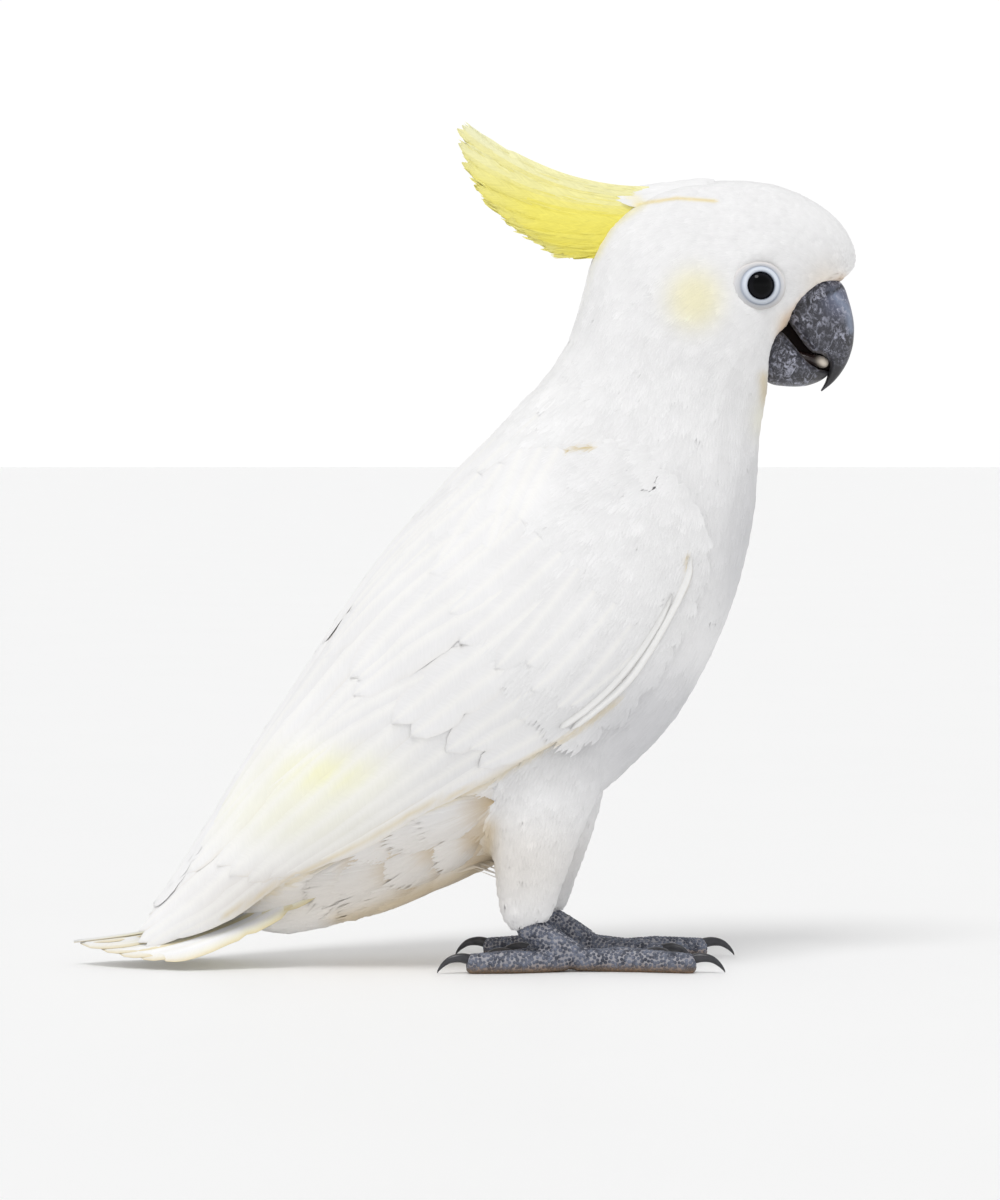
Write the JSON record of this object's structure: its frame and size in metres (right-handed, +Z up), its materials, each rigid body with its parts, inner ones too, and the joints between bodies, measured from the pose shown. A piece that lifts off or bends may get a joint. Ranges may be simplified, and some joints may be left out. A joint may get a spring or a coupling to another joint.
{
  "type": "cockatoo",
  "caption": "Life-size white cockatoo standing still on a floor, wings folded, yellow crest swept back, tail laid on the floor behind it.",
  "frame": {"origin": "centre of the bounding box in plan, at floor level under the toes", "axes": "+X the way the bird faces, +Y its left side, +Z up"},
  "size_m": [0.3288, 0.12, 0.353],
  "materials": {
    "plumage": "matt white contour feathers and vanes, faintly lavender-grey in the hollows and pale yellow on the inner webs",
    "crest": "matt bright yellow plumes with paler tips",
    "bill": "charcoal horn, satin, with pale flaky wear and darker glossy edges",
    "tongue": "dull pinkish grey, dry",
    "eye": "nearly black, wet and glossy",
    "eye_skin": "bare pale blue-white skin, fine wrinkles, matt",
    "scales": "blue-grey scaly skin with paler scale borders, matt",
    "claw": "black horn, satin"
  },
  "bodies": {
    "root": {"thigh_right": "plumage", "tarsus_right": "scales", "toe_1_right": "scales", "claw_1_right": "claw", "toe_2_right": "scales", "claw_2_right": "claw", "toe_3_right": "scales", "claw_3_right": "claw", "toe_4_right": "scales", "claw_4_right": "claw", "thigh_left": "plumage", "tarsus_left": "scales", "toe_1_left": "scales", "claw_1_left": "claw", "toe_2_left": "scales", "claw_2_left": "claw", "toe_3_left": "scales", "claw_3_left": "claw", "toe_4_left": "scales", "claw_4_left": "claw", "head": "plumage", "neck": "plumage", "trunk": "plumage", "rump": "plumage", "crest": "crest", "bill_upper": "bill", "bill_lower": "bill", "tongue": "tongue", "eye_right": "eye", "eye_ring_right": "eye_skin", "eye_left": "eye", "eye_ring_left": "eye_skin", "tail": "plumage", "wing_right": "plumage", "primaries_right": "plumage", "wing_left": "plumage", "primaries_left": "plumage"}
  },
  "joints": []
}
